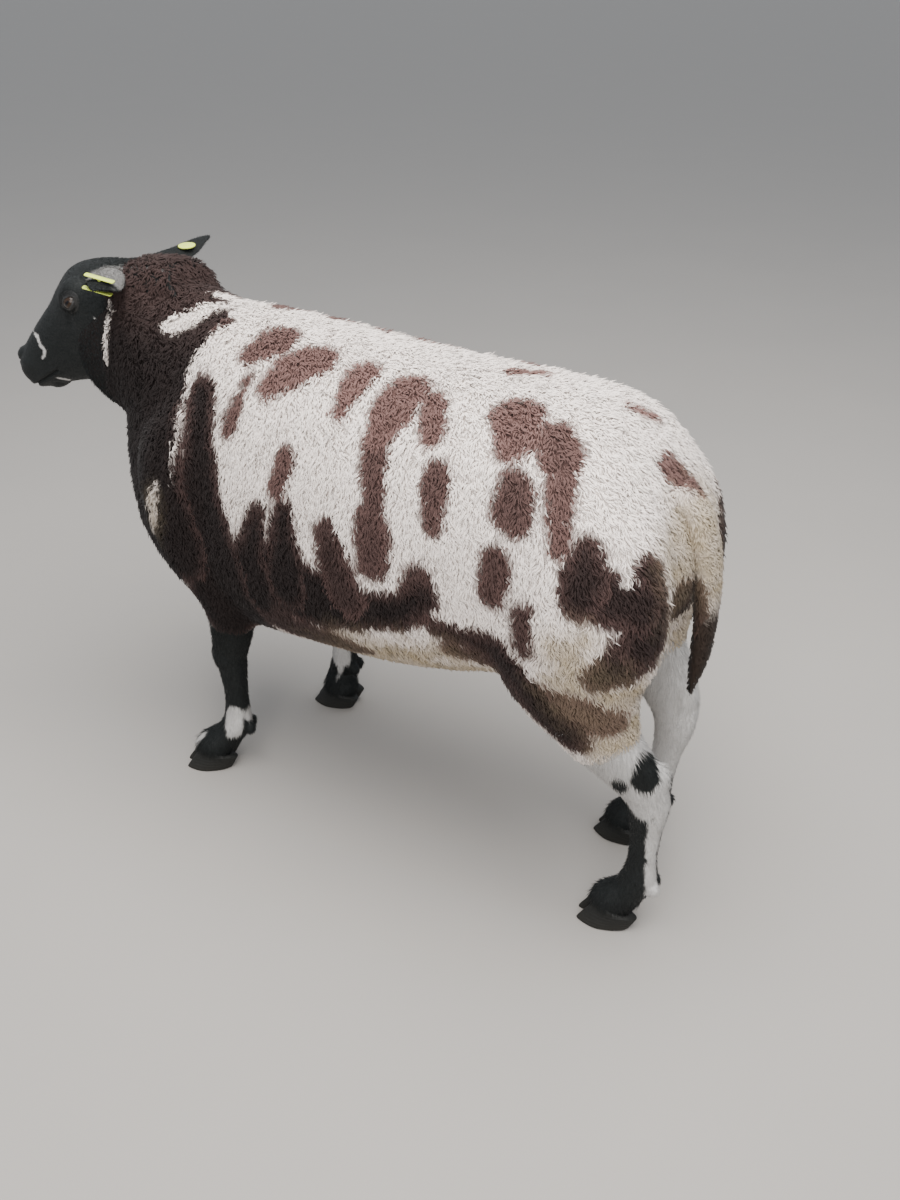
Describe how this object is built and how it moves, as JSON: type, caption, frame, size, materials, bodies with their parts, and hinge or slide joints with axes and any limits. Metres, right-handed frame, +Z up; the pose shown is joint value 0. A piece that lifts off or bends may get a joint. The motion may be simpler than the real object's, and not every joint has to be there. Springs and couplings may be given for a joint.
{
  "type": "standing dutch spotted ram model",
  "caption": "Life-size still model of a polled spotted ram standing square, with short curly fleece, clean face and legs, docked tail and plain ear tags.",
  "frame": {"origin": "middle of the whole model's box, at the level of the soles", "axes": "+Z up, the ram faces -Y, and its left side is +X"},
  "size_m": [0.4024, 1.2224, 0.7839],
  "materials": {
    "fleece": "short dense crimped wool, white with dark brown spots",
    "short_hair": "short flat hair, black with white marks",
    "horn": "dark dull hoof horn",
    "eye": "wet and glossy, with a level slot pupil",
    "tag_yellow": "satin yellow-green moulded plastic, blank"
  },
  "bodies": {
    "root": {"head": "short_hair", "neck": "fleece", "torso": "fleece", "tail": "fleece", "scrotum": "short_hair", "ear_left": "short_hair", "ear_right": "short_hair", "eye_left": "eye", "eye_right": "eye", "tag_left": "tag_yellow", "tag_right": "tag_yellow", "leg_front_left": "short_hair", "leg_front_right": "short_hair", "leg_hind_left": "short_hair", "leg_hind_right": "short_hair", "hoof_front_left": "horn", "hoof_front_right": "horn", "hoof_hind_left": "horn", "hoof_hind_right": "horn"}
  },
  "joints": []
}
